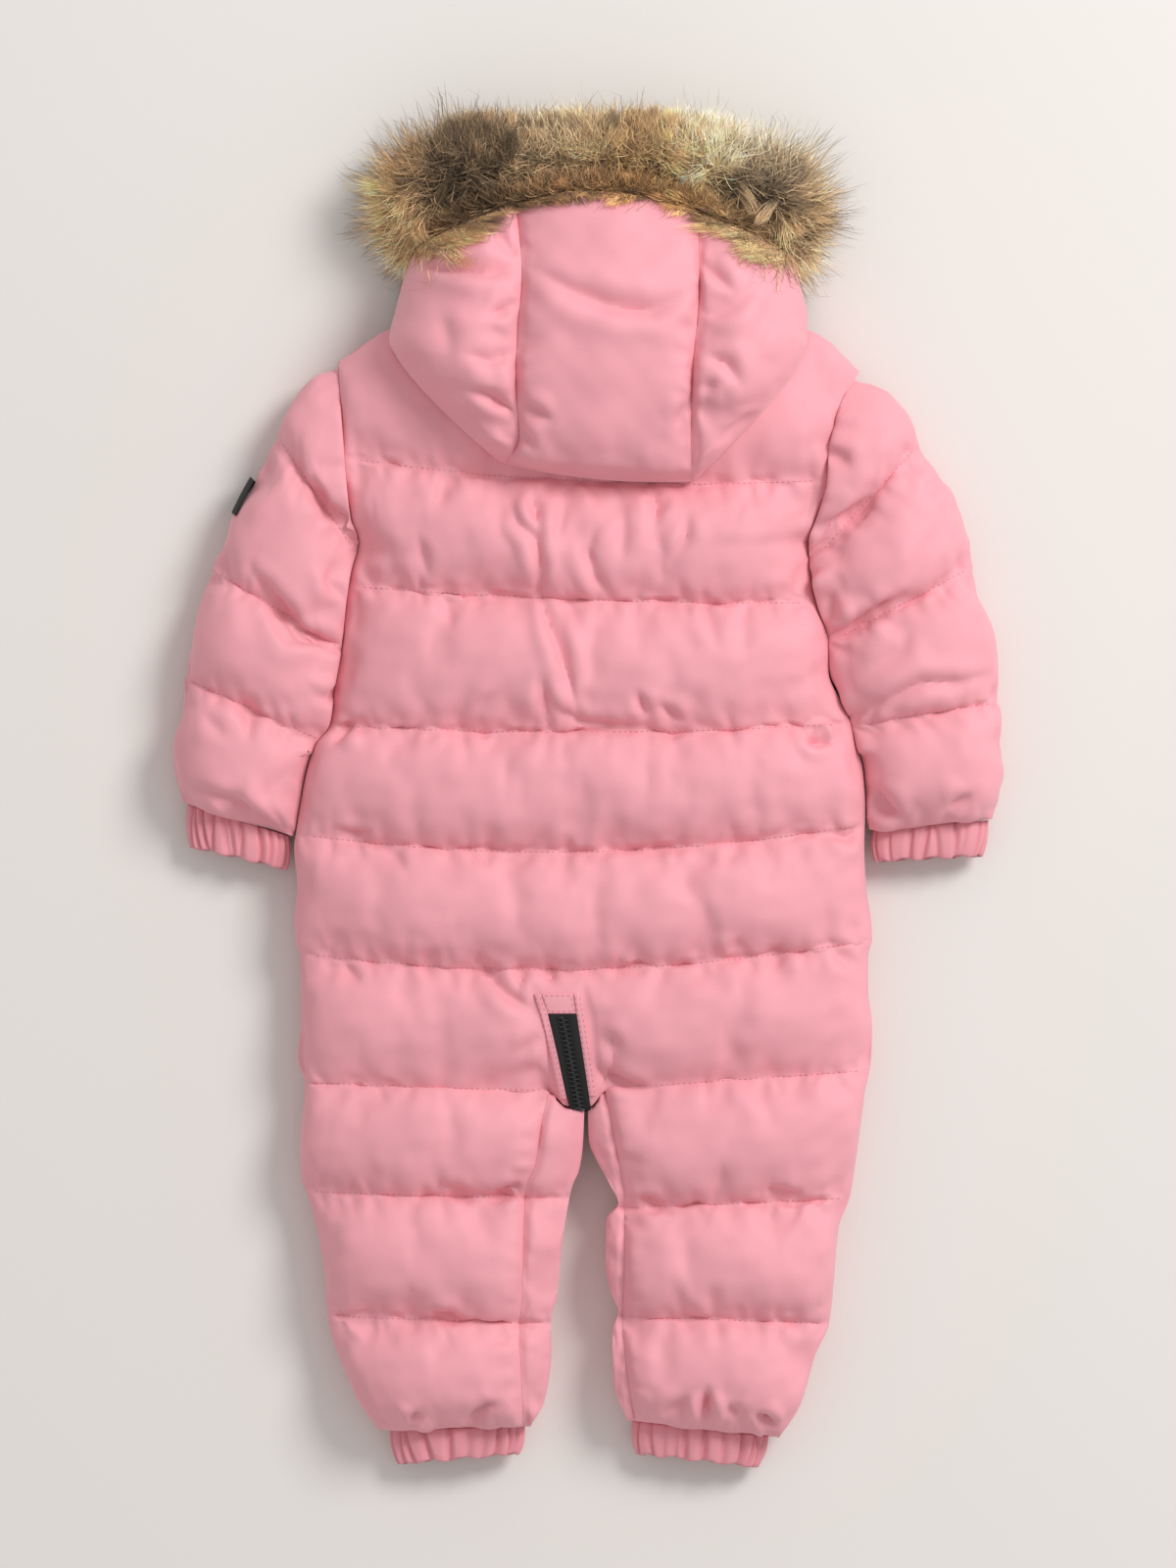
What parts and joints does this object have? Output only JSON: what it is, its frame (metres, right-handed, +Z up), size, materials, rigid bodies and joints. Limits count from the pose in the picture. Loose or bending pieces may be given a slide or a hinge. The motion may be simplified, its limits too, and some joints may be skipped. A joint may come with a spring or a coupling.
{
  "type": "baby snowsuit",
  "caption": "Padded baby snowsuit laid flat, face down: quilted back, sleeves and legs, gathered cuffs, a hood with fur trim, and a zip that runs round through the crotch.",
  "frame": {"origin": "on the surface that the suit lies on, below the middle of its bounding box", "axes": "+Z up from the surface, +Y along the suit from the ankles to the hood, +X to the right seen from above, where the back of the suit shows"},
  "size_m": [0.5071, 0.8353, 0.09],
  "materials": {
    "shell": "fine woven pink shell cloth over soft padding, slight sheen",
    "cuff": "the same pink cloth gathered over elastic",
    "fur": "long artificial fur, honey tan with dark brown tips",
    "zip": "black woven tape with black moulded teeth",
    "patch": "plain black woven patch"
  },
  "bodies": {
    "root": {"back_panel": "shell", "front_panel_left": "shell", "front_panel_right": "shell", "inner_leg_left": "shell", "inner_leg_right": "shell", "sleeve_left": "shell", "sleeve_right": "shell", "sleeve_cuff_left": "cuff", "sleeve_cuff_right": "cuff", "ankle_cuff_left": "cuff", "ankle_cuff_right": "cuff", "hood_side_left": "shell", "hood_centre": "shell", "hood_side_right": "shell", "fur_trim": "fur", "zip_tape": "zip", "zip_facing_left": "shell", "zip_facing_right": "shell", "zip_end_tab": "shell", "sleeve_patch": "patch"}
  },
  "joints": []
}
